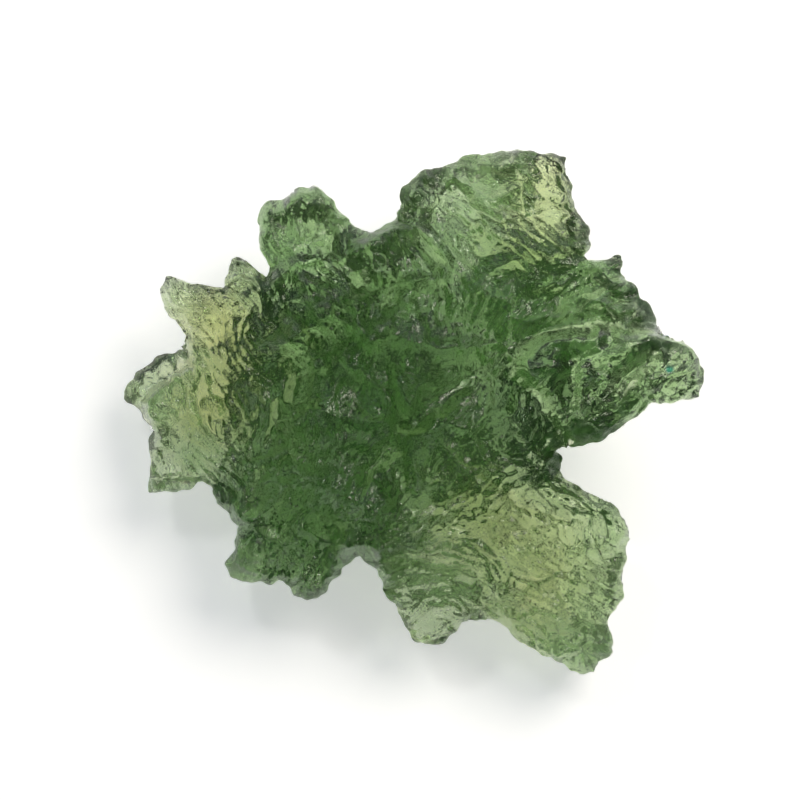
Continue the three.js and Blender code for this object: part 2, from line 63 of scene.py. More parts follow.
# The outline, lobe by lobe, counter-clockwise seen from above.
LOBES = {
    "right, upper edge": [
        (14.25, 2.0), (14.1, 2.65), (13.65, 3.3), (13.4, 3.6), (12.85, 3.63), (12.3, 3.95),
        (12.0, 4.7), (11.6, 5.3),
    ],
    "upper right": [
        (10.95, 6.1), (10.45, 6.9), (10.55, 7.4), (10.35, 7.7), (9.6, 7.6), (8.6, 7.55),
    ],
    "upper": [
        (8.85, 8.25), (8.85, 8.95), (8.5, 9.65), (8.15, 10.1), (8.0, 11.05), (7.65, 12.55),
        (7.15, 12.85), (6.45, 12.85), (5.35, 13.05), (4.45, 12.8), (3.05, 12.7), (1.95, 12.3),
        (0.95, 11.9), (0.05, 11.55), (-0.55, 11.05), (-0.62, 10.3), (-0.9, 9.6),
    ],
    "upper left": [
        (-1.55, 8.9), (-2.05, 8.8), (-2.65, 9.05), (-3.3, 9.75), (-4.05, 10.55), (-4.6, 11.1),
        (-5.75, 11.1), (-6.35, 10.55), (-7.35, 10.0), (-7.5, 9.45), (-7.4, 8.4), (-7.05, 7.55),
        (-6.95, 7.15), (-7.15, 6.6),
    ],
    "left horns": [
        (-7.6, 7.1), (-8.15, 7.62), (-8.85, 7.5), (-9.05, 6.75), (-9.25, 6.05), (-10.3, 6.25),
        (-11.3, 6.5), (-12.15, 6.65), (-12.5, 6.1), (-12.25, 5.2), (-11.8, 4.55), (-11.25, 3.75),
    ],
    "left flange": [
        (-11.5, 3.05), (-12.3, 2.75), (-13.05, 2.35), (-13.7, 1.85), (-14.25, 1.0), (-13.55, 0.2),
        (-13.05, -0.95), (-13.05, -2.05), (-13.0, -3.2), (-13.15, -4.1), (-11.95, -4.0),
        (-10.4, -3.45),
    ],
    "lower left": [
        (-9.9, -3.85), (-9.75, -4.75), (-9.05, -5.05), (-8.75, -5.75), (-8.9, -6.85), (-9.35, -7.6),
        (-9.0, -8.3), (-8.2, -8.6), (-7.05, -8.55), (-6.7, -8.4), (-6.05, -8.55), (-5.85, -9.2),
        (-5.2, -9.6), (-4.3, -9.1), (-3.75, -8.45), (-3.3, -7.55), (-2.55, -7.2),
    ],
    "lower right": [
        (-1.95, -7.6), (-1.55, -8.35), (-1.1, -9.55), (-0.45, -10.5), (0.35, -11.45), (1.05, -11.65),
        (1.65, -11.55), (2.65, -10.6), (3.45, -10.4), (4.45, -10.65), (5.95, -11.8), (6.7, -12.35),
        (7.95, -12.95), (9.15, -13.05), (10.0, -12.05), (9.8, -10.45), (10.6, -9.4), (10.6, -7.95),
        (10.75, -6.8), (11.05, -6.4), (10.75, -5.35), (10.05, -4.8), (8.95, -4.15), (8.0, -3.5),
        (7.2, -2.95),
    ],
    "right, lower edge": [
        (7.4, -2.35), (7.0, -1.95), (7.7, -1.75), (8.45, -1.7), (9.45, -1.25), (10.4, -0.9),
        (11.05, -0.35), (11.95, 0.4), (13.05, 0.45), (14.1, 0.7), (14.2, 1.55),
    ],
}
CORNERS = [point for points in LOBES.values() for point in points]

# Ridges of the upper side: how steeply the flanks fall away, then crest points (x, y, height).
RIDGES = {
    "crown": (0.6, [(-0.55, 3.55, 10.0), (-0.55, 0.55, 10.3), (-2.05, -1.45, 10.0)]),
    "upper rib": (0.65, [(1.45, 3.3, 9.2), (2.95, 6.05, 7.6), (4.05, 9.3, 6.2), (4.45, 12.3, 5.2)]),
    "upper left edge": (0.9, [(1.5, 4.55, 8.8), (0.95, 7.3, 7.4), (0, 9.8, 6.4), (-0.4, 10.9, 5.4)]),
    "upper right edge": (0.7, [(5.45, 6.8, 7.6), (7.2, 8.9, 6.0), (6.9, 11.6, 5.0)]),
    "upper right crest": (0.5, [
        (2.95, 5.05, 9.0), (5.7, 6.7, 9.2), (8.6, 7.0, 9.2), (10.2, 7.2, 8.4),
    ]),
    "upper right flank": (0.4, [(10.2, 7.2, 8.4), (11.6, 4.8, 8.6)]),
    "right crest": (0.35, [
        (5.8, 2.2, 9.4), (8.4, 3.0, 9.9), (10.5, 3.0, 10.2), (12.2, 2.6, 9.8), (13.8, 1.8, 8.6),
    ]),
    "right shoulder": (0.4, [(7.2, 0.8, 9.2), (9.2, 0.0, 9.0), (11.4, 0.8, 9.2)]),
    "upper left crest": (0.5, [
        (-2.05, 3.05, 10.2), (-3.8, 5.05, 10.6), (-4.9, 7.55, 10.6), (-5.0, 9.8, 9.8), (-5.1, 10.8, 9.0),
    ]),
    "upper left outer": (0.5, [(-6.9, 9.3, 8.8), (-6.5, 7.55, 9.2), (-5.8, 5.55, 9.6)]),
    "left front": (0.5, [
        (-4.05, 1.05, 9.2), (-7.05, 1.55, 7.0), (-9.8, 1.3, 5.9), (-12.2, 0.45, 5.2),
    ]),
    "left front, lower": (0.6, [(-5.55, -0.95, 8.0), (-8.55, -1.45, 6.4), (-11.0, -1.95, 5.2)]),
    "left horn": (0.5, [
        (-6.8, 3.05, 7.0), (-9.05, 4.55, 5.7), (-11.05, 5.55, 5.2), (-12.1, 6.3, 4.4),
    ]),
    "small horn": (0.8, [(-7.45, 4.8, 6.2), (-8.3, 6.3, 5.2), (-8.45, 7.3, 4.6)]),
    "low horn": (0.6, [(-10.55, -2.7, 4.6), (-12.8, -3.85, 3.6)]),
    "flange": (0.4, [(-12.3, 1.55, 4.2), (-13.95, 1.0, 3.6)]),
    "lower left crest": (0.9, [
        (-3.55, -1.45, 9.4), (-6.05, -3.45, 8.2), (-7.8, -6.45, 6.9), (-9.0, -7.6, 5.8),
    ]),
    "lower left second": (0.8, [(-4.55, -3.45, 8.4), (-5.3, -6.45, 7.0), (-5.2, -9.1, 5.5)]),
    "front spike": (1.3, [(-5.55, -2.2, 9.2), (-3.8, -4.05, 10.2), (-2.3, -4.8, 10.6)]),
    "lower right shoulder": (0.4, [
        (-0.55, -0.95, 9.6), (1.45, -1.95, 8.0), (4.45, -3.45, 6.1), (7.45, -5.45, 5.2),
        (9.9, -6.2, 4.7),
    ]),
    "lower right spine": (0.4, [
        (1.45, -2.95, 7.6), (4.45, -7.45, 5.3), (7.45, -10.45, 4.9), (9.3, -12.3, 4.2),
    ]),
    "lower tongue": (0.6, [
        (-0.55, -4.95, 7.2), (0.2, -7.45, 5.7), (0.95, -9.45, 5.2), (1.15, -11.1, 4.5),
    ]),
}

# How thick the glass is, place by place: reach, thickness, then the path in plan that it holds along.
THICKNESS = {
    "heart": (2.6, 7.5, [(-0.6, 3.6), (-0.6, 0.5), (-2.2, -2.0)]),
    "heart, left": (1.5, 7.6, [(-5.6, 3.2), (-5.4, 0.4), (-5.0, -2.4)]),
    "left plate": (1.7, 1.9, [(-10.0, 0.9), (-8.9, 2.8), (-9.6, 4.6)]),
    "left plate, front": (1.0, 2.7, [(-11.4, -0.4), (-9.8, -1.9), (-8.8, -2.8)]),
    "left horn": (1.3, 1.8, [(-11.4, 5.8), (-9.4, 5.2), (-8.4, 6.8)]),
    "flange": (0.7, 3.0, [(-13.4, 1.2), (-13.1, -0.6), (-12.6, -2.6)]),
    "flange, upper end": (0.6, 3.0, [(-12.2, 2.3), (-11.1, 3.0)]),
    "low horn": (0.9, 1.7, [(-12.5, -3.5)]),
    "lower left": (2.2, 7.6, [(-5.0, -4.6), (-7.4, -6.2)]),
    "lower left, tips": (1.1, 4.4, [(-8.7, -7.8), (-6.8, -8.0), (-5.2, -8.9)]),
    "front spike": (1.2, 9.4, [(-3.6, -4.2)]),
    "upper left": (1.6, 5.6, [(-4.0, 5.8), (-4.6, 7.6)]),
    "upper left, outer": (1.5, 5.8, [(-6.5, 8.0), (-6.2, 9.4), (-5.4, 10.4)]),
    "upper notch": (1.2, 6.8, [(-2.0, 7.2), (-0.4, 6.6)]),
    "upper, left face": (1.9, 3.8, [(1.6, 9.6), (0.6, 10.8)]),
    "upper, right face": (2.3, 2.0, [(6.2, 9.4), (7.0, 11.6)]),
    "upper rib": (0.7, 9.0, [(4.2, 12.2), (4.6, 10.9)]),
    "upper, root": (1.5, 4.8, [(2.4, 7.0), (5.2, 7.6)]),
    "upper right crest": (1.0, 8.4, [(5.5, 6.1), (8.4, 6.7), (10.0, 6.8)]),
    "upper right flank": (0.9, 8.0, [(8.2, 5.0), (11.2, 4.9)]),
    "right, root": (1.1, 6.4, [(4.2, 3.0), (4.5, 1.6)]),
    "right, inner band": (0.6, 4.4, [(7.7, 1.4), (7.6, 0.2)]),
    "right, patches": (1.7, 1.3, [(6.6, 2.6), (8.0, 3.3), (9.2, 3.1), (11.0, 3.4)]),
    "right, streak": (0.45, 5.0, [(10.1, 1.2), (11.2, 2.2)]),
    "right tip": (1.4, 1.4, [(12.6, 1.9)]),
    "right, lower band": (1.0, 2.4, [(8.4, 0.0), (10.0, 0.4), (11.2, 1.0)]),
    "lower right, shoulder": (1.4, 6.6, [(0.6, -2.6), (2.4, -0.9), (5.4, 0.2)]),
    "lower right": (2.4, 2.7, [(2.4, -4.6), (5.2, -5.2), (8.2, -6.2), (6.8, -8.4)]),
    "lower right, edge": (0.7, 5.0, [(10.3, -7.2), (10.1, -9.0)]),
    "lower right, rings": (1.3, 3.3, [(6.0, -10.2)]),
    "lower right, tip": (1.0, 6.4, [(9.3, -11.8)]),
    "lower tongue": (1.1, 1.4, [(1.0, -9.4), (0.8, -10.7)]),
    "lower tongue, root": (0.55, 10.0, [(-1.0, -7.6), (2.6, -8.1)]),
    "under the shoulder": (1.0, 2.0, [(1.2, -6.6)]),
}

# Folds of the upper side: half width, rise (below zero for a hollow), then the path in plan.
FOLDS = {
    "heart, long ridge": (0.45, 1.2, [(0.1, 6.2), (-0.9, 4.8), (-2.0, 3.5), (-2.7, 2.7)]),
    "heart, second ridge": (0.35, 1.05, [(-2.8, 5.4), (-2.5, 4.2), (-2.0, 3.4)]),
    "heart, thin ridge": (0.25, 0.75, [(-1.3, 6.6), (-1.25, 5.4)]),
    "heart, left ridge": (0.4, 1.2, [(-5.9, 4.6), (-5.5, 3.4), (-4.2, 2.2)]),
    "heart, short ridge": (0.3, 0.75, [(-0.7, 2.0), (-0.4, 0.9), (-0.1, 0.3)]),
    "heart, dark pit": (0.6, -1.95, [(-5.5, 1.6), (-5.3, 0.7)]),
    "heart, upper pit": (0.55, -1.65, [(-2.2, 6.1)]),
    "heart, upper right pit": (0.5, -1.65, [(-0.75, 6.1), (-0.95, 5.3)]),
    "heart, bowl": (0.8, -1.05, [(-3.9, 3.5)]),
    "heart, cliff": (0.5, -1.5, [(-0.7, 0.0), (-1.1, -1.7), (-2.2, -2.9)]),
    "heart, left valley": (0.35, -1.2, [(-6.5, 0.2), (-5.9, -1.2), (-5.2, -2.6)]),
    "heart, right valley": (0.8, -1.2, [(-0.2, -0.6), (1.2, 0.5), (3.2, 1.8)]),
    "upper left, outer pit": (0.9, -1.1, [(-4.25, 8.95)]),
    "upper left, inner pit": (0.8, -0.8, [(-4.25, 7.7)]),
    "upper left, pale crest": (0.35, 0.8, [(-5.5, 6.4), (-4.2, 6.0)]),
    "upper left, lower crest": (0.4, 0.7, [(-4.3, 4.9), (-3.0, 4.1)]),
    "upper, straight scratch": (0.12, -0.4, [(3.45, 9.4), (4.45, 8.25)]),
    "upper, curved line": (0.25, -0.5, [(0.6, 8.4), (1.3, 7.0), (1.6, 5.6), (1.5, 4.6)]),
    "lower left, ridge": (0.35, 0.7, [(-8.0, -2.9), (-6.4, -2.3), (-6.4, -0.9)]),
    "under the front spike": (0.9, -1.5, [(-3.95, -5.55)]),
    "behind the lower tongue": (0.35, -1.1, [(-1.3, -7.2), (0.95, -7.7), (3.2, -8.2)]),
    "across the lower tongue": (0.3, -0.8, [(-1.0, -8.95), (0.4, -8.6), (1.95, -8.45)]),
    "beside the lower tongue": (0.5, -0.8, [(3.2, -8.2), (3.4, -10.2)]),
    "lower right, outer ring": (0.25, -0.5, [(4.6, -9.2), (6.0, -8.5), (7.6, -9.0), (8.0, -10.6)]),
    "lower right, inner ring": (0.25, -0.5, [(5.3, -10.2), (6.2, -9.5), (7.1, -10.1)]),
    "lower right, long crease": (0.3, -0.6, [(3.6, -3.2), (5.4, -4.6), (7.8, -5.4)]),
    "left front, first groove": (0.22, -0.5, [(-11.2, 1.2), (-10.2, -0.6), (-9.4, -2.0)]),
    "left front, second groove": (0.22, -0.45, [(-9.8, 1.6), (-9.2, 0.2), (-8.4, -1.6)]),
    "right, streak": (0.45, -1.2, [(10.0, 1.2), (11.5, 2.5)]),
    "right, short streak": (0.35, -0.9, [(9.8, 4.4), (9.7, 3.4)]),
    "right, pale stripe": (0.3, 0.6, [(8.5, 1.6), (8.35, 0.4)]),
    "right, inner band": (0.5, -0.7, [(7.8, 2.4), (7.6, 0.2)]),
    "left front, edge pit": (0.7, -0.6, [(-11.8, -1.2)]),
    "left horn, root pit": (0.7, -0.6, [(-10.2, 3.25)]),
}

# Feet that the stone is worn flat on: half width and middle in plan.
FEET = {
    "heart": (1.8, (-0.8, 0.8)),
    "left": (1.7, (-5.2, 2.4)),
    "lower left": (1.8, (-5.2, -4.6)),
    "shoulder": (1.7, (2.4, -1.8)),
    "upper right": (1.8, (5.6, 5.2)),
}
FOOT_DEPTH = 0.8

# Terraces, parts of the upper side that stand over the rest: rise, width of the step, then the edge
# in plan.
TERRACES = {
    "right lobe": (2.6, 0.9, [
        (7.4, -3.0), (13.0, -2.0), (15.5, 0.0), (15.5, 3.5), (13.0, 4.3), (11.6, 4.4), (10.6, 4.3),
        (9.6, 4.7), (8.6, 4.4), (7.4, 4.35), (6.4, 4.1), (5.0, 3.4), (4.8, 2.4), (5.3, 1.2), (6.4, 0.2),
        (7.0, -0.8),
    ]),
}

# The step from the left front down to the thin flange, from its lower end to its upper end.
FLANGE_LINE = [
    (-10.4, -3.4), (-11.65, -2.1), (-12.25, -1.75), (-12.9, -0.1), (-13.0, 0.4), (-12.3, 1.25),
    (-11.65, 1.65), (-10.55, 2.15), (-11.2, 3.65),
]
FLANGE_TOP = 3.9
FLANGE_STEP = 0.7

# Stretches of the outline where the side stands steeper or slants further in: reach, the share of the
# usual width, then the path in plan.
SIDES = {
    "right, lower side": (1.6, 2.6, [(7.7, -1.9), (9.5, -1.4), (11.2, -0.3)]),
    "upper right side": (1.6, 2.6, [(10.6, 7.4), (11.8, 4.8)]),
    "right tip": (1.2, 0.4, [(13.4, 3.4), (14.2, 1.2)]),
    "right, upper side": (0.9, 0.4, [(12.6, 3.8), (10.4, 4.6), (8.0, 4.4)]),
    "upper left side": (1.4, 0.35, [(-5.0, 11.1), (-7.3, 9.8), (-7.2, 7.4)]),
    "lower right shoulder": (1.0, 0.35, [(7.6, -3.2), (9.2, -4.3), (10.9, -5.8)]),
    "lower right side": (1.1, 0.35, [(11.0, -6.2), (10.6, -9.4)]),
    "lower right tip": (1.1, 0.35, [(9.9, -11.5), (9.0, -13.0)]),
    "left horns": (0.9, 0.35, [(-12.4, 6.4), (-11.0, 6.4), (-9.3, 6.2), (-8.3, 7.6)]),
    "lower left side": (1.2, 0.35, [(-9.2, -7.6), (-7.8, -8.6), (-5.2, -9.4)]),
}

# Faces that the etching hardly touched, and some that it cut deep: reach, the share of its usual depth,
# then the path in plan.
ETCHED_FACES = {
    "right lobe": (1.6, 0.2, [(6.8, 2.8), (8.2, 3.4), (10.6, 3.4)]),
    "right tip": (0.9, 0.3, [(12.4, 1.6)]),
    "upper left face": (0.8, 0.7, [(-6.0, 9.6), (-5.6, 7.2)]),
    "lower left facet": (0.8, 0.2, [(-8.4, -7.6)]),
    "heart, lower face": (0.8, 0.2, [(-2.8, -1.4), (-1.7, -1.7)]),
    "heart, right slope": (0.9, 0.2, [(-0.2, -0.6), (3.0, 1.6)]),
    "upper right ledge": (0.4, 0.2, [(6.6, 7.2), (10.0, 7.4)]),
    "upper right flank": (1.2, 1.9, [(8.0, 6.0), (10.6, 5.6)]),
    "lower left": (1.6, 1.5, [(-6.6, -5.0), (-7.2, -6.8)]),
    "lower tongue": (1.4, 0.9, [(0.6, -8.4), (1.2, -10.2)]),
    "left plate": (1.6, 0.65, [(-10.0, 0.9), (-8.9, 2.8)]),
    "flange": (0.7, 0.4, [(-13.4, 1.4), (-12.2, 2.4), (-11.2, 3.2)]),
}

# Places where the ground stained the skin yellow: reach, how strongly, then the path in plan.
STAINS = {
    "left plate": (2.0, 1.0, [(-10.0, 0.4), (-8.8, 2.4), (-9.4, 4.4)]),
    "upper, right face": (2.0, 0.6, [(6.2, 8.8), (6.8, 11.0)]),
    "lower right": (2.6, 0.7, [(3.0, -4.8), (6.0, -6.4), (6.4, -8.6)]),
}

# The small turquoise spot in the skin colour: its place in plan, how far around it its height is looked for,
# and the radii up to which its colour is full and past which it is gone.
TURQUOISE_SPOT_PLACE = (12.6, 2.05)
TURQUOISE_SPOT_REACH = 0.2
TURQUOISE_SPOT_RADII = (0.14, 0.3)

# Which way the etched wrinkles run: place, reach and direction in degrees.
WRINKLE_RUNS = {
    "left front": (-9.6, 0.4, 3.0, -52),
    "left horn": (-10.2, 5.0, 2.5, -38),
    "lower left": (-6.6, -5.8, 3.0, -115),
    "heart": (-1.5, 0.5, 4.0, 68),
    "upper left": (-5.0, 8.6, 2.5, -60),
    "upper, left face": (1.6, 9.8, 2.5, -42),
    "upper, right face": (6.4, 11.0, 2.5, -35),
    "right": (9.5, 2.6, 3.0, 40),
    "lower right, shoulder": (2.6, -3.2, 2.6, 35),
    "lower right, face": (5.4, -7.6, 3.0, -48),
    "lower tongue": (0.8, -9.6, 2.2, 15),
    "lower right, tip": (8.6, -10.6, 2.2, -30),
}

# How the upper side, the underside, the rim and the edges are formed.
BLEND = 0.3
CREST_RADIUS = 0.35
BELLY_REACH = 1.3
BELLY_LIFT = 0.8
RIM_SHARE = 0.3
RIM_DROP = 0.7
UPPER_EDGE = (0.6, 0.06)
UPPER_BULGE = 2.2
UNDER_EDGE = (0.35, 0.3)
UNDER_BULGE = 2.0
LEAST_THICKNESS = 0.7
LEAST_CUT = 0.15
LATTICE_MARGIN = 3
MOST_STEEPNESS = 2.2

# Noise: the period of its lattice, what brings a swell to a size of about 1, and the bowls' scatter in
# a cell, scale and highest crest.
NOISE_PERIOD = 64
SWELL_SCALE = 1.5
BOWL_SCATTER = (0.1, 0.9)
BOWL_SCALE = 1.6
BOWL_TOP = 1.2

# Wrinkles: spacing, length and width of the grooves as a share of the noise's spread, and how many
# values are averaged along a wrinkle.
COARSE_WRINKLES = (0.7, 2.2, 0.4)
FINE_WRINKLES = (0.36, 0.7, 0.6)
WRINKLE_STEPS = 9

# Etching: how bowls and wrinkles bend, the bowls' level and the spans of glass over which they grow
# deeper, how its depth changes from place to place, and how much deeper wrinkles are in thin glass.
BEND_SPACING = 3.1
BEND_REACH = 0.9
BOWL_LEVEL = 0.4
BOWL_SPANS = (0.5, 5.0)
ROUGH_SPACING = 2.4
ROUGH_MEAN = 0.9
ROUGH_SWING = 0.5
THIN_SPANS = (3.0, 6.0)
THIN_GAIN = 0.5

# The underside's own etching, as a share of the upper side's, and its cups in thick glass.
UNDER_ETCHING = 0.7
CUP_SPACING = 2.3
CUP_LEVEL = 0.5
CUP_SPANS = (3.5, 8.0)

# Swells of the outline and of the whole skin: spacing, and share of the depth. The skin's are deeper on
# upright sides by a gain, and fade out at the feet, below a height.
CRINKLES = [(0.95, 0.6), (0.42, 0.4)]
CRUMPLES = [(1.3, 0.6), (0.6, 0.4)]
SIDE_GAIN = 1.4
CRUMPLE_RISE = 0.5

# Seeds of the random draws.
UPPER_SEED = 11
UNDER_SEED = 31
CUP_SEED = 51
CRINKLE_SEED = 71
CRUMPLE_SEED = 81

# Values too small to show, which keep a division from failing far from every place.
TINY = 1e-12
FAINT_PLACE = 1e-9
FAINT_RUN = 1e-6

# The glass and its skin: spacings of the finest wrinkles, of dull and polished places and of stained
# patches, the spread of noise that these use, and the shares of roughness and of stain that it gives.
GLASS_IOR = 1.49
GLASS_CLARITY = 0.985
SKIN_SPACING = 0.22
DULL_SPACING = 1.5
DULL_SPREAD = (0.35, 0.65)
DULL_SHARES = (0.3, 1.6)
STAIN_SPACING = 3.0
STAIN_SPREAD = (0.3, 0.6)
LEAST_STAIN = 0.6

# The stage, in metres: the lamps' sizes and places, and how far the floor lies below the feet.
KEY_SIZE = 0.22
KEY_PLACE = (0.16, 0.18, 0.30)
SPARK_SIZE = 0.05
SPARK_PLACE = (-0.10, 0.16, 0.32)
FLOOR_GAP = 0.02 * MM

# The light from all round, by its direction: it dims up to a height, and from the back to the front.
SKY_TOP = 0.7
OVERHEAD_SHARE = 0.25
SKY_DEPTH = 0.7
FRONT_SHARE = 0.4
BACK_SHARE = 1.2

# The camera: the width of its sensor in millimetres, and how far it sees, nearer and farther.
SENSOR_WIDTH = 36.0
CLIP_RATIO = 10

# The colour sockets of a mix node, which share their names with its other sockets.
MIX_A = 6
MIX_B = 7
MIX_RESULT = 2


def linear(hex_colour):
    """A colour written as an sRGB hex value, as linear red, green, blue and an alpha of 1."""
    parts = np.array([int(hex_colour[i:i + 2], 16) for i in (1, 3, 5)]) / 255
    light = np.where(parts <= 0.04045, parts / 12.92, ((parts + 0.055) / 1.055) ** 2.4)
    return (*light.tolist(), 1.0)


def smoothstep(values, low, high):
    """0 below low, 1 above high, and a smooth cubic between them."""
    share = np.clip((values - low) / (high - low), 0, 1)
    return share * share * (3 - 2 * share)


def stretch_to(x, y, start, end):
    """Distance in plan from each point to a straight stretch, and the share along it of the nearest
    point."""
    run_x = end[0] - start[0]
    run_y = end[1] - start[1]
    length2 = max(run_x * run_x + run_y * run_y, TINY)
    share = np.clip(((x - start[0]) * run_x + (y - start[1]) * run_y) / length2, 0, 1)
    return np.hypot(x - start[0] - share * run_x, y - start[1] - share * run_y), share


def stretches(points):
    """Neighbouring pairs of a path's points. A path of one point gives that point twice."""
    return list(zip(points, points[1:])) or [(points[0], points[0])]


def ridge_height(x, y):
    """Height of the ridges: each falls away from its crest at its own slope, with a rounded crest, and
    the soft maximum over all of them, the log of a sum of exponentials, is the surface."""
    total = np.zeros_like(x)
    for slope, crest in RIDGES.values():
        for start, end in stretches(crest):
            gap, share = stretch_to(x, y, start, end)
            height = start[2] + share * (end[2] - start[2])
            drop = slope * (np.hypot(gap, CREST_RADIUS) - CREST_RADIUS)
            total += np.exp((height - drop) / BLEND)
    return BLEND * np.log(total)


def path_gap(x, y, path):
    """Distance in plan from each point to a path."""
    return np.min([stretch_to(x, y, start, end)[0] for start, end in stretches(path)], axis=0)


def path_bell(x, y, path, reach):
    """1 on a path and falling away from it by a bell curve of the distance in plan."""
    return np.exp(-((path_gap(x, y, path) / reach) ** 2))


def place_share(x, y, places):
    """1, changed towards each place's share by a bell curve of the distance from its path."""
    changes = [(share - 1) * path_bell(x, y, path, reach) for reach, share, path in places.values()]
    return 1 + np.max(changes, axis=0) + np.min(changes, axis=0)


def stain_share(x, y):
    """The strongest of the stains, each a bell curve of the distance from its path."""
    return np.max([share * path_bell(x, y, path, reach) for reach, share, path in STAINS.values()], axis=0)


def glass_thickness(x, y):
    """The mean of the places' thicknesses, weighted by a bell curve of the distance from each place's
    path."""
    total = np.zeros_like(x)
    weights = np.zeros_like(x)
    for reach, thickness, path in THICKNESS.values():
        weight = np.exp(-0.5 * (path_gap(x, y, path) / reach) ** 2) + FAINT_PLACE
        total += weight * thickness
        weights += weight
    return total / weights


def softened(values, cell, reach):
    """The mean of a lattice's values around each point, weighted by a bell curve of the distance."""
    for axis in (0, 1):
        steps = np.arange(values.shape[axis]) * cell
        weights = np.exp(-0.5 * ((steps[:, None] - steps) / reach) ** 2)
        weights /= weights.sum(axis=1, keepdims=True)
        values = np.moveaxis(np.tensordot(weights, values, (1, axis)), 0, axis)
    return values


def fold_height(x, y):
    """Sum of the folds: each is a bell curve of the distance from its path."""
    return sum(rise * path_bell(x, y, path, width) for width, rise, path in FOLDS.values())


def foot_share(x, y):
    """1 in the middle of a foot and 0 far from all of them, the largest of their bell curves."""
    return np.max([path_bell(x, y, [middle], width) for width, middle in FEET.values()], axis=0)


def flange_share(x, y):
    """0 on the left front and 1 out on the flange, by the distance in X beyond the line of the step."""
    line_x, line_y = np.array(FLANGE_LINE).T
    beyond = np.interp(y, line_y, line_x) - x
    on_line = (y > line_y[0]) & (y <= line_y[-1])
    return np.where(on_line, smoothstep(beyond, 0, FLANGE_STEP), 0)


def inner_gap(x, y, corners):
    """Distance from a closed outline in plan, positive inside it. A point is inside if a line from it
    along X crosses the outline an odd number of times."""
    gap = np.full_like(x, np.inf)
    inside = np.zeros(x.shape, bool)
    for start, end in zip(corners, corners[1:] + corners[:1]):
        gap = np.minimum(gap, stretch_to(x, y, start, end)[0])
        crosses = (start[1] > y) != (end[1] > y)
        if start[1] != end[1]:
            at = start[0] + (y - start[1]) * (end[0] - start[0]) / (end[1] - start[1])
            inside ^= crosses & (x < at)
    return np.where(inside, gap, -gap)


def terrace_height(x, y):
    """Sum of the terraces: each rises smoothly over its step's width, from its edge inwards."""
    rises = [rise * smoothstep(inner_gap(x, y, edge), 0, width) for rise, width, edge in TERRACES.values()]
    return sum(rises)


def edge_share(gap, span, edge, bulge):
    """0 on the outline and 1 past the edge's width, which grows with the glass's span: one less a power
    of the share of the width still to go, so a larger bulge gives a fuller edge."""
    return 1 - (1 - np.clip(gap / (edge[0] + edge[1] * span), 0, 1)) ** bulge


def swell(x, y, seed):
    """Gradient noise of spacing 1 and size about 1: each lattice corner slopes in a random direction, and
    the four slopes around a point are blended by a smooth fifth-degree curve."""
    angles = np.random.default_rng(seed).uniform(0, 2 * np.pi, (NOISE_PERIOD, NOISE_PERIOD))
    slopes = np.stack([np.cos(angles), np.sin(angles)])
    left = np.floor(x).astype(int)
    low = np.floor(y).astype(int)
    in_x = x - left
    in_y = y - low

    def corner(step_x, step_y):
        slope_x, slope_y = slopes[:, (left + step_x) % NOISE_PERIOD, (low + step_y) % NOISE_PERIOD]
        return slope_x * (in_x - step_x) + slope_y * (in_y - step_y)

    blend_x = in_x ** 3 * (in_x * (in_x * 6 - 15) + 10)
    blend_y = in_y ** 3 * (in_y * (in_y * 6 - 15) + 10)
    lower = corner(0, 0) + blend_x * (corner(1, 0) - corner(0, 0))
    upper = corner(0, 1) + blend_x * (corner(1, 1) - corner(0, 1))
    return SWELL_SCALE * (lower + blend_y * (upper - lower))


def pits(x, y, seed):
    """Bowls of spacing 1 that meet in sharp crests: the squared distance to the nearest of the points
    scattered one to each cell of a lattice, about 0 in a bowl and 1 on a crest."""
    scatter = np.random.default_rng(seed).uniform(*BOWL_SCATTER, (2, NOISE_PERIOD, NOISE_PERIOD))
    left = np.floor(x).astype(int)
    low = np.floor(y).astype(int)
    nearest = np.full_like(x, np.inf)
    for step_x in (-1, 0, 1):
        for step_y in (-1, 0, 1):
            at_x, at_y = scatter[:, (left + step_x) % NOISE_PERIOD, (low + step_y) % NOISE_PERIOD]
            gap2 = (left + step_x + at_x - x) ** 2 + (low + step_y + at_y - y) ** 2
            nearest = np.minimum(nearest, gap2)
    return np.minimum(nearest * BOWL_SCALE, BOWL_TOP)


def wrinkle_direction(x, y):
    """Unit direction of the etched wrinkles: the mean of the runs' directions, weighted by a bell curve of
    the distance. Angles are doubled for the mean, because a run has no front or back end."""
    total = np.zeros(x.shape, complex)
    for place_x, place_y, reach, degrees in WRINKLE_RUNS.values():
        gap2 = (x - place_x) ** 2 + (y - place_y) ** 2
        total += (np.exp(-gap2 / (2 * reach * reach)) + FAINT_RUN) * np.exp(2j * np.radians(degrees))
    direction = np.exp(0.5j * np.angle(total))
    return direction.real, direction.imag


def wrinkles(x, y, spacing, length, groove, seed):
    """Etched wrinkles, flat between narrow grooves: gradient noise is averaged along the local run over
    the wrinkle's length, and a bell curve of its value cuts a groove wherever it is about zero. 1 between
    grooves and -1 in one."""
    along_x, along_y = wrinkle_direction(x, y)
    steps = np.linspace(-0.5, 0.5, WRINKLE_STEPS) * length
    streak = sum(swell((x + s * along_x) / spacing, (y + s * along_y) / spacing, seed) for s in steps)
    return 1 - 2 * np.exp(-((streak / (groove * streak.std())) ** 2))


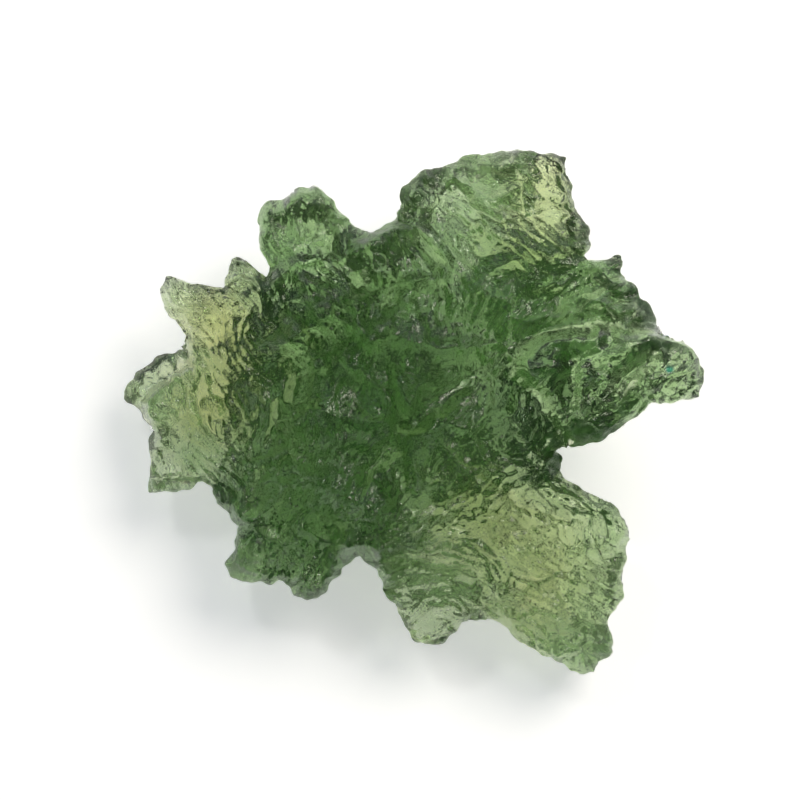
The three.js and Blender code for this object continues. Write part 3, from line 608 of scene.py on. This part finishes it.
def etching(x, y, span, settings, seed):
    """Relief of an etched side, in three sizes: bowls, shallower where the glass spans less, wrinkles that
    follow the lobes, and fine wrinkles. Wrinkles are deeper where the glass spans less, and a swell makes
    both kinds deeper and shallower from place to place."""
    bend_x = x + BEND_REACH * swell(x / BEND_SPACING, y / BEND_SPACING, seed)
    bend_y = y + BEND_REACH * swell(x / BEND_SPACING, y / BEND_SPACING, seed + 1)
    spacing = settings.pit_spacing / MM
    bowls = pits(bend_x / spacing, bend_y / spacing, seed + 2) - BOWL_LEVEL
    coarse = wrinkles(bend_x, bend_y, *COARSE_WRINKLES, seed + 3)
    fine = wrinkles(x, y, *FINE_WRINKLES, seed + 4)
    rough = ROUGH_MEAN + ROUGH_SWING * swell(x / ROUGH_SPACING, y / ROUGH_SPACING, seed + 5)
    rough *= 1 + THIN_GAIN - THIN_GAIN * smoothstep(span, *THIN_SPANS)
    return place_share(x, y, ETCHED_FACES) * (
        settings.pit_depth / MM * smoothstep(span, *BOWL_SPANS) * bowls
        + settings.wrinkle_depth / MM * rough * coarse
        + settings.fine_depth / MM * rough * fine
    )


def steepness(height, cell):
    """Length of the surface over its length in plan, up to a limit: relief is raised by it so that it is
    as deep square to a steep flank as on a level one."""
    fall_y, fall_x = np.gradient(height, cell)
    return np.minimum(np.sqrt(1 + fall_x ** 2 + fall_y ** 2), MOST_STEEPNESS)


def stone_sides(settings):
    """Plan of an even lattice, the distance of its points from the outline, and the heights of the upper
    side, the underside and the rim over it.

    The upper side is the ridges with the terraces and the folds on them, and the flange's step. The
    underside lies the glass's thickness below a softened copy of it without the terraces, is lifted clear
    of the floor and drawn down at the feet, and is worn flat at zero. Both take their own etching, and
    the underside its cups too, and both close in on the rim's height towards the outline."""
    cell = settings.cell / MM
    reach_x, reach_y = np.ceil(np.abs(CORNERS).max(axis=0) / cell) + LATTICE_MARGIN
    x, y = np.meshgrid(np.arange(-reach_x, reach_x + 1) * cell, np.arange(-reach_y, reach_y + 1) * cell)
    wavering = sum(
        share * swell(x / spacing, y / spacing, CRINKLE_SEED + number)
        for number, (spacing, share) in enumerate(CRINKLES)
    )
    gap = inner_gap(x, y, CORNERS) + settings.crinkle / MM * wavering
    gap = np.where(gap > 0, np.maximum(gap, LEAST_CUT * cell), np.minimum(gap, -LEAST_CUT * cell))
    terrace = terrace_height(x, y)
    ridged = ridge_height(x, y) + terrace + fold_height(x, y)
    stepped = ridged + flange_share(x, y) * (FLANGE_TOP - ridged)
    lift = softened(stepped - terrace, cell, BELLY_REACH) - glass_thickness(x, y)
    foot = foot_share(x, y)
    belly = np.maximum(lift, BELLY_LIFT) * (1 - foot) - FOOT_DEPTH * foot
    stepped = np.maximum(stepped, belly + LEAST_THICKNESS)
    span = stepped - np.maximum(belly, 0)
    rim = stepped - np.minimum(RIM_SHARE * span, RIM_DROP)

    upper = stepped + etching(x, y, span, settings, UPPER_SEED) * steepness(stepped, cell)
    upper = rim + edge_share(gap, span, UPPER_EDGE, UPPER_BULGE) * (upper - rim)
    cups = smoothstep(span, *CUP_SPANS) * (CUP_LEVEL - pits(x / CUP_SPACING, y / CUP_SPACING, CUP_SEED))
    relief = etching(x, y, span, settings, UNDER_SEED) * steepness(belly, cell)
    under = np.maximum(belly + settings.cup_depth / MM * cups - UNDER_ETCHING * relief, 0)
    closing = edge_share(gap, place_share(x, y, SIDES) * span, UNDER_EDGE, UNDER_BULGE)
    under = rim + closing * (under - rim)
    upper = np.maximum(upper, under + closing * LEAST_THICKNESS)
    return x, y, gap, upper, under, rim


def lattice_triangles(rows, columns):
    """Two triangles for each cell of a lattice, anticlockwise, with the diagonals of neighbouring cells
    crossing."""
    at = np.arange(rows * columns).reshape(rows, columns)
    a, b, c, d = at[:-1, :-1], at[:-1, 1:], at[1:, 1:], at[1:, :-1]
    odd = (np.add.outer(np.arange(rows - 1), np.arange(columns - 1)) % 2).astype(bool)[..., None]
    first = np.where(odd, np.stack([a, b, d], -1), np.stack([a, b, c], -1))
    second = np.where(odd, np.stack([b, c, d], -1), np.stack([a, c, d], -1))
    return np.concatenate([first.reshape(-1, 3), second.reshape(-1, 3)])


def closed_stone(x, y, gap, upper, under, rim):
    """Points and triangles of the closed stone.

    The lattice's triangles are trimmed where the distance from the outline changes sign. A triangle with
    one point outside leaves a four-sided piece, and one with two outside a smaller triangle. The kept
    pieces are laid on the upper side and, turned over, on the underside, and both share the cut points on
    the rim."""
    inside = gap.ravel() > 0
    triangles = lattice_triangles(*gap.shape)
    count = inside[triangles].sum(axis=1)
    nodes = np.flatnonzero(inside)
    place = np.full(inside.size, -1)
    place[nodes] = np.arange(len(nodes))
    cut_base = 2 * len(nodes)

    def turned(wanted, odd_one):
        chosen = triangles[count == wanted]
        start = np.argmax(inside[chosen] == odd_one, axis=1)
        return chosen[np.arange(len(chosen))[:, None], (start[:, None] + np.arange(3)) % 3]

    one_out = turned(2, False)
    two_out = turned(1, True)
    cut_ends = np.concatenate([kind[:, pair] for kind in (one_out, two_out) for pair in ([0, 1], [0, 2])])
    cuts, which = np.unique(np.sort(cut_ends, axis=1), axis=0, return_inverse=True)
    parts = np.cumsum([len(one_out), len(one_out), len(two_out)])
    after_out, before_out, after_in, before_in = np.split(cut_base + which.ravel(), parts)
    near = place[one_out[:, 1]]
    far = place[one_out[:, 2]]
    faces = np.concatenate([
        place[triangles[count == 3]],
        np.stack([near, far, before_out], axis=1),
        np.stack([near, before_out, after_out], axis=1),
        np.stack([place[two_out[:, 0]], after_in, before_in], axis=1),
    ])
    lower_faces = np.where(faces < cut_base, faces + len(nodes), faces)[:, ::-1]

    upper_points, under_points, rim_points = (
        np.stack([x.ravel(), y.ravel(), side.ravel()], axis=1) for side in (upper, under, rim)
    )
    from_gap, to_gap = gap.ravel()[cuts].T
    share = (from_gap / (from_gap - to_gap))[:, None]
    starts = rim_points[cuts[:, 0]]
    cut_points = starts + share * (rim_points[cuts[:, 1]] - starts)
    points = np.concatenate([upper_points[nodes], under_points[nodes], cut_points])
    return points, np.concatenate([faces, lower_faces])


def crumpled(points, faces, settings):
    """The points moved along their normals by a swell of two sizes, each the sum of one swell in each plane
    of the axes, further on upright sides, and not at all where the stone is worn flat at zero."""
    corners = points[faces]
    turned = np.cross(corners[:, 1] - corners[:, 0], corners[:, 2] - corners[:, 0])
    normals = np.stack([
        np.bincount(faces.ravel(), np.repeat(turned[:, axis], 3), len(points)) for axis in range(3)
    ], axis=1)
    normals /= np.linalg.norm(normals, axis=1, keepdims=True) + TINY
    shift = np.zeros(len(points))
    for spacing, share in CRUMPLES:
        x, y, z = points.T / spacing
        planes = [(x, y), (y, z), (z, x)]
        shift += share * sum(swell(*plane, CRUMPLE_SEED + number) for number, plane in enumerate(planes))
    upright = 1 - np.abs(normals[:, 2])
    shift *= settings.crumple / MM * (1 + SIDE_GAIN * upright) * smoothstep(points[:, 2], 0, CRUMPLE_RISE)
    moved = points + shift[:, None] * normals
    moved[:, 2] = np.maximum(moved[:, 2], 0)
    return moved


def mesh_object(name, points, faces):
    """A smooth-shaded object at the origin from an array of points and an array of triangles."""
    mesh = bpy.data.meshes.new(name)
    mesh.vertices.add(len(points))
    mesh.vertices.foreach_set("co", points.astype(np.float32).ravel())
    mesh.loops.add(faces.size)
    mesh.loops.foreach_set("vertex_index", faces.astype(np.int32).ravel())
    mesh.polygons.add(len(faces))
    mesh.polygons.foreach_set("loop_start", np.arange(0, faces.size, 3, dtype=np.int32))
    mesh.polygons.foreach_set("use_smooth", np.ones(len(faces), bool))
    mesh.update()
    if mesh.validate():
        raise RuntimeError(f"the mesh of {name} had faults")
    made = bpy.data.objects.new(name, mesh)
    bpy.context.collection.objects.link(made)
    return made


def add_node(tree, kind, settings=None, links=None):
    """Adds a node: settings are its properties or the values of its inputs, links the outputs that feed
    inputs. An input is given by name, or by number where several share a name."""
    node = tree.nodes.new(kind)
    for key, value in (settings or {}).items():
        if isinstance(key, int) or key in node.inputs:
            node.inputs[key].default_value = value
        else:
            setattr(node, key, value)
    for key, source in (links or {}).items():
        tree.links.new(source, node.inputs[key])
    return node


def etched_tektite_glass(settings, spot_at):
    """Natural impact glass, etched in the ground: clear green that darkens with thickness, under a
    lustrous skin of fine wrinkles that breaks up what is seen through it."""
    material = bpy.data.materials.new("etched tektite glass")
    material.use_nodes = True
    tree = material.node_tree
    tree.nodes.clear()
    coordinates = add_node(tree, "ShaderNodeTexCoord")
    # The finest wrinkles, about as far apart as the smallest that the photograph shows.
    wrinkle = add_node(
        tree,
        "ShaderNodeTexNoise",
        {"Scale": 1 / (SKIN_SPACING * MM), "Detail": 2.0, "Roughness": 0.55, "Distortion": 1.2},
        {"Vector": coordinates.outputs["Object"]},
    )
    bump = add_node(
        tree,
        "ShaderNodeBump",
        {"Strength": 1.0, "Distance": settings.skin_depth},
        {"Height": wrinkle.outputs["Fac"]},
    )
    # Etching leaves dull places and polished ones.
    patches = add_node(
        tree,
        "ShaderNodeTexNoise",
        {"Scale": 1 / (DULL_SPACING * MM), "Detail": 3.0, "Roughness": 0.6},
        {"Vector": coordinates.outputs["Object"]},
    )
    dullness = add_node(
        tree,
        "ShaderNodeMapRange",
        {
            "From Min": DULL_SPREAD[0],
            "From Max": DULL_SPREAD[1],
            "To Min": DULL_SHARES[0] * settings.skin_roughness,
            "To Max": DULL_SHARES[1] * settings.skin_roughness,
        },
        {"Value": patches.outputs["Fac"]},
    )
    # The ground stained the skin yellow in places, in uneven patches.
    stains = add_node(
        tree,
        "ShaderNodeTexNoise",
        {"Scale": 1 / (STAIN_SPACING * MM), "Detail": 4.0, "Roughness": 0.6},
        {"Vector": coordinates.outputs["Object"]},
    )
    evenness = add_node(
        tree,
        "ShaderNodeMapRange",
        {"From Min": STAIN_SPREAD[0], "From Max": STAIN_SPREAD[1], "To Min": LEAST_STAIN},
        {"Value": stains.outputs["Fac"]},
    )
    stain_places = add_node(tree, "ShaderNodeAttribute", {"attribute_name": STAIN})
    stain = add_node(
        tree,
        "ShaderNodeMath",
        {"operation": "MULTIPLY"},
        {0: evenness.outputs["Result"], 1: stain_places.outputs["Fac"]},
    )
    stained = add_node(
        tree,
        "ShaderNodeMix",
        {
            "data_type": "RGBA",
            MIX_A: (*settings.skin_colour, 1.0),
            MIX_B: (*settings.stain_colour, 1.0),
        },
        {"Factor": stain.outputs["Value"]},
    )
    # A small turquoise spot in the skin colour near the right tip.
    spot_gap = add_node(
        tree,
        "ShaderNodeVectorMath",
        {"operation": "DISTANCE", 1: spot_at},
        {0: coordinates.outputs["Object"]},
    )
    spot_share = add_node(
        tree,
        "ShaderNodeMapRange",
        {"From Min": TURQUOISE_SPOT_RADII[0] * MM, "From Max": TURQUOISE_SPOT_RADII[1] * MM, "To Min": 1.0, "To Max": 0.0},
        {"Value": spot_gap.outputs["Value"]},
    )
    skin = add_node(
        tree,
        "ShaderNodeMix",
        {"data_type": "RGBA", MIX_B: (*settings.spot_colour, 1.0)},
        {"Factor": spot_share.outputs["Result"], MIX_A: stained.outputs[MIX_RESULT]},
    )
    glass = add_node(
        tree,
        "ShaderNodeBsdfPrincipled",
        {"IOR": GLASS_IOR, "Transmission Weight": GLASS_CLARITY},
        {
            "Base Color": skin.outputs[MIX_RESULT],
            "Normal": bump.outputs["Normal"],
            "Roughness": dullness.outputs["Result"],
        },
    )
    body = add_node(
        tree,
        "ShaderNodeVolumeAbsorption",
        {"Color": (*settings.body_colour, 1.0), "Density": settings.body_density},
    )
    add_node(
        tree,
        "ShaderNodeOutputMaterial",
        links={"Surface": glass.outputs["BSDF"], "Volume": body.outputs["Volume"]},
    )
    return material


def opal_sheet(glow):
    """White opal sheet lit softly from below, as used under clear stones: matte, with no pattern that
    shows."""
    material = bpy.data.materials.new("white opal sheet")
    material.use_nodes = True
    shader = material.node_tree.nodes["Principled BSDF"]
    shader.inputs["Base Color"].default_value = linear("#f6f6f4")
    shader.inputs["Roughness"].default_value = 0.9
    shader.inputs["Specular IOR Level"].default_value = 0.1
    shader.inputs["Emission Color"].default_value = linear("#ffffff")
    shader.inputs["Emission Strength"].default_value = glow
    return material


def studio_sky(sky):
    """Pale light from all round, dimmer overhead, and dimmer in front than at the back."""
    world = bpy.data.worlds.new("soft studio")
    world.use_nodes = True
    tree = world.node_tree
    direction = add_node(tree, "ShaderNodeTexCoord").outputs["Generated"]
    parts = add_node(tree, "ShaderNodeSeparateXYZ", links={"Vector": direction})
    by_height = add_node(
        tree,
        "ShaderNodeMapRange",
        {"From Min": 0.0, "From Max": SKY_TOP, "To Min": sky, "To Max": OVERHEAD_SHARE * sky},
        {"Value": parts.outputs["Z"]},
    )
    by_depth = add_node(
        tree,
        "ShaderNodeMapRange",
        {"From Min": -SKY_DEPTH, "From Max": SKY_DEPTH, "To Min": FRONT_SHARE, "To Max": BACK_SHARE},
        {"Value": parts.outputs["Y"]},
    )
    strength = add_node(
        tree,
        "ShaderNodeMath",
        {"operation": "MULTIPLY"},
        {0: by_height.outputs["Result"], 1: by_depth.outputs["Result"]},
    )
    background = tree.nodes["Background"].inputs
    background["Color"].default_value = linear("#e8f1fb")
    tree.links.new(strength.outputs["Value"], background["Strength"])
    return world


def disk_lamp(name, colour, size, power, place):
    """A round area lamp at a place, turned to face the origin."""
    light = bpy.data.lights.new(name, "AREA")
    light.shape = "DISK"
    light.size = size
    light.energy = power
    light.color = linear(colour)[:3]
    lamp = bpy.data.objects.new(name, light)
    lamp.location = place
    lamp.rotation_euler = (-lamp.location.normalized()).to_track_quat("-Z", "Y").to_euler()
    bpy.context.collection.objects.link(lamp)


def overhead_camera(settings):
    """A camera straight above the stone, which shows it at the photograph's scale and place."""
    camera = bpy.data.cameras.new("camera")
    camera.lens = settings.lens
    camera.sensor_width = SENSOR_WIDTH
    across = PHOTO_SIDE / PIXELS_PER_MM * MM
    distance = across * settings.lens / camera.sensor_width
    camera.clip_start = distance / CLIP_RATIO
    camera.clip_end = distance * CLIP_RATIO
    view = bpy.data.objects.new("camera", camera)
    view.location = (PHOTO_MIDDLE[0] * MM, PHOTO_MIDDLE[1] * MM, settings.focus_height + distance)
    bpy.context.collection.objects.link(view)
    return view


class StoneSettings(bpy.types.PropertyGroup):
    """Sizes and colours of the stone."""

    cell: FloatProperty(
        name="Cell",
        description="Spacing of the lattice the stone is worked out on",
        default=0.098 * MM,
        unit="LENGTH",
    )
    crinkle: FloatProperty(
        name="Crinkle", description="How far the outline wavers", default=0.12 * MM, unit="LENGTH"
    )
    pit_spacing: FloatProperty(
        name="Pit spacing", description="Distance between etched bowls", default=1.7 * MM, unit="LENGTH"
    )
    pit_depth: FloatProperty(
        name="Pit depth", description="Depth of the etched bowls", default=0.85 * MM, unit="LENGTH"
    )
    wrinkle_depth: FloatProperty(
        name="Wrinkle depth", description="Depth of the wrinkles", default=0.10 * MM, unit="LENGTH"
    )
    fine_depth: FloatProperty(
        name="Fine depth", description="Depth of the fine wrinkles", default=0.06 * MM, unit="LENGTH"
    )
    cup_depth: FloatProperty(
        name="Cup depth", description="Depth of the underside's cups", default=1.6 * MM, unit="LENGTH"
    )
    crumple: FloatProperty(
        name="Crumple",
        description="How far the whole skin swells in and out",
        default=0.09 * MM,
        unit="LENGTH",
    )
    skin_depth: FloatProperty(
        name="Skin depth", description="Depth of the finest relief", default=0.035 * MM, unit="LENGTH"
    )
    skin_roughness: FloatProperty(
        name="Skin roughness", description="Roughness of the etched skin", default=0.12, subtype="FACTOR"
    )
    skin_colour: FloatVectorProperty(
        name="Skin", description="Tint of the etched skin", default=linear("#f6f7e4")[:3], subtype="COLOR"
    )
    stain_colour: FloatVectorProperty(
        name="Stain", description="Tint of the stained skin", default=linear("#fbf0bc")[:3], subtype="COLOR"
    )
    # A small turquoise spot in the skin colour near the right tip.
    spot_colour: FloatVectorProperty(
        name="Turquoise spot", description="Colour of the small grain", default=linear("#2e9aa8")[:3], subtype="COLOR"
    )
    body_colour: FloatVectorProperty(
        name="Glass",
        description="What the glass lets through",
        default=linear("#b0d19f")[:3],
        subtype="COLOR",
    )
    body_density: FloatProperty(
        name="Density", description="How strongly the glass absorbs, per metre", default=375.0
    )


class StageSettings(bpy.types.PropertyGroup):
    """Sizes and strengths of the stage."""

    floor_side: FloatProperty(name="Floor", description="Side of the floor", default=4.0, unit="LENGTH")
    lens: FloatProperty(name="Lens", description="Focal length in millimetres", default=300.0)
    focus_height: FloatProperty(
        name="Scale height",
        description="Height at which the picture's scale holds",
        default=4.5 * MM,
        unit="LENGTH",
    )
    key_power: FloatProperty(name="Key", description="Power of the key light", default=0.8, unit="POWER")
    spark_power: FloatProperty(
        name="Spark", description="Power of the small lamp", default=0.12, unit="POWER"
    )
    glow: FloatProperty(name="Glow", description="Strength of the floor's light from below", default=0.36)
    sky: FloatProperty(name="Sky", description="Strength of the light from all round", default=0.8)


class OBJECT_OT_moldavite_stone(bpy.types.Operator):
    """Build the stone in place of its solid"""

    bl_idname = "object.moldavite_stone"
    bl_label = "Stone"

    def execute(self, context):
        settings = context.scene.moldavite_stone
        points, faces = closed_stone(*stone_sides(settings))
        points = crumpled(points, faces, settings)
        stone = mesh_object("stone", points * MM, faces)
        stains = stone.data.attributes.new(STAIN, "FLOAT", "POINT")
        stains.data.foreach_set("value", stain_share(points[:, 0], points[:, 1]).astype(np.float32))
        # The height of the upper side at the turquoise spot, where its colour is centred.
        near_spot = np.hypot(*(points[:, :2] - TURQUOISE_SPOT_PLACE).T) < TURQUOISE_SPOT_REACH
        spot_at = np.array([*TURQUOISE_SPOT_PLACE, points[near_spot, 2].max()]) * MM
        stone.data.materials.append(etched_tektite_glass(settings, spot_at))
        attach(stone, "root")
        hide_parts(NODE)
        return {"FINISHED"}


class OBJECT_OT_moldavite_stage(bpy.types.Operator):
    """Lay the floor and set the lights and the camera"""

    bl_idname = "object.moldavite_stage"
    bl_label = "Stage"

    def execute(self, context):
        settings = context.scene.moldavite_stage
        half = settings.floor_side / 2
        corners = np.array([[-half, -half, 0], [half, -half, 0], [half, half, 0], [-half, half, 0]])
        floor = mesh_object("floor", corners - [0, 0, FLOOR_GAP], np.array([[0, 1, 2], [0, 2, 3]]))
        floor.data.materials.append(opal_sheet(settings.glow))
        context.scene.world = studio_sky(settings.sky)
        disk_lamp("key", "#fff8ee", KEY_SIZE, settings.key_power, KEY_PLACE)
        disk_lamp("spark", "#ffffff", SPARK_SIZE, settings.spark_power, SPARK_PLACE)
        context.scene.camera = overhead_camera(settings)
        context.scene.view_settings.view_transform = "Standard"
        context.scene.view_settings.look = "Medium High Contrast"
        return {"FINISHED"}


class VIEW3D_PT_moldavite(bpy.types.Panel):
    """The stone's sizes and colours, and its two steps"""

    bl_idname = "VIEW3D_PT_moldavite"
    bl_label = "Moldavite"
    bl_space_type = "VIEW_3D"
    bl_region_type = "UI"
    bl_category = "Moldavite"

    def draw(self, context):
        for settings in (context.scene.moldavite_stone, context.scene.moldavite_stage):
            for name in settings.bl_rna.properties.keys():
                if name not in ("rna_type", "name"):
                    self.layout.prop(settings, name)
        self.layout.operator(OBJECT_OT_moldavite_stone.bl_idname)
        self.layout.operator(OBJECT_OT_moldavite_stage.bl_idname)


CLASSES = (
    StoneSettings,
    StageSettings,
    OBJECT_OT_moldavite_stone,
    OBJECT_OT_moldavite_stage,
    VIEW3D_PT_moldavite,
)


def register():
    for made in CLASSES:
        bpy.utils.register_class(made)
    bpy.types.Scene.moldavite_stone = PointerProperty(type=StoneSettings)
    bpy.types.Scene.moldavite_stage = PointerProperty(type=StageSettings)


def unregister():
    del bpy.types.Scene.moldavite_stage
    del bpy.types.Scene.moldavite_stone
    for made in reversed(CLASSES):
        bpy.utils.unregister_class(made)


def main():
    register()
    bpy.ops.object.moldavite_stone()
    bpy.ops.object.moldavite_stage()


if __name__ == "__main__":
    main()
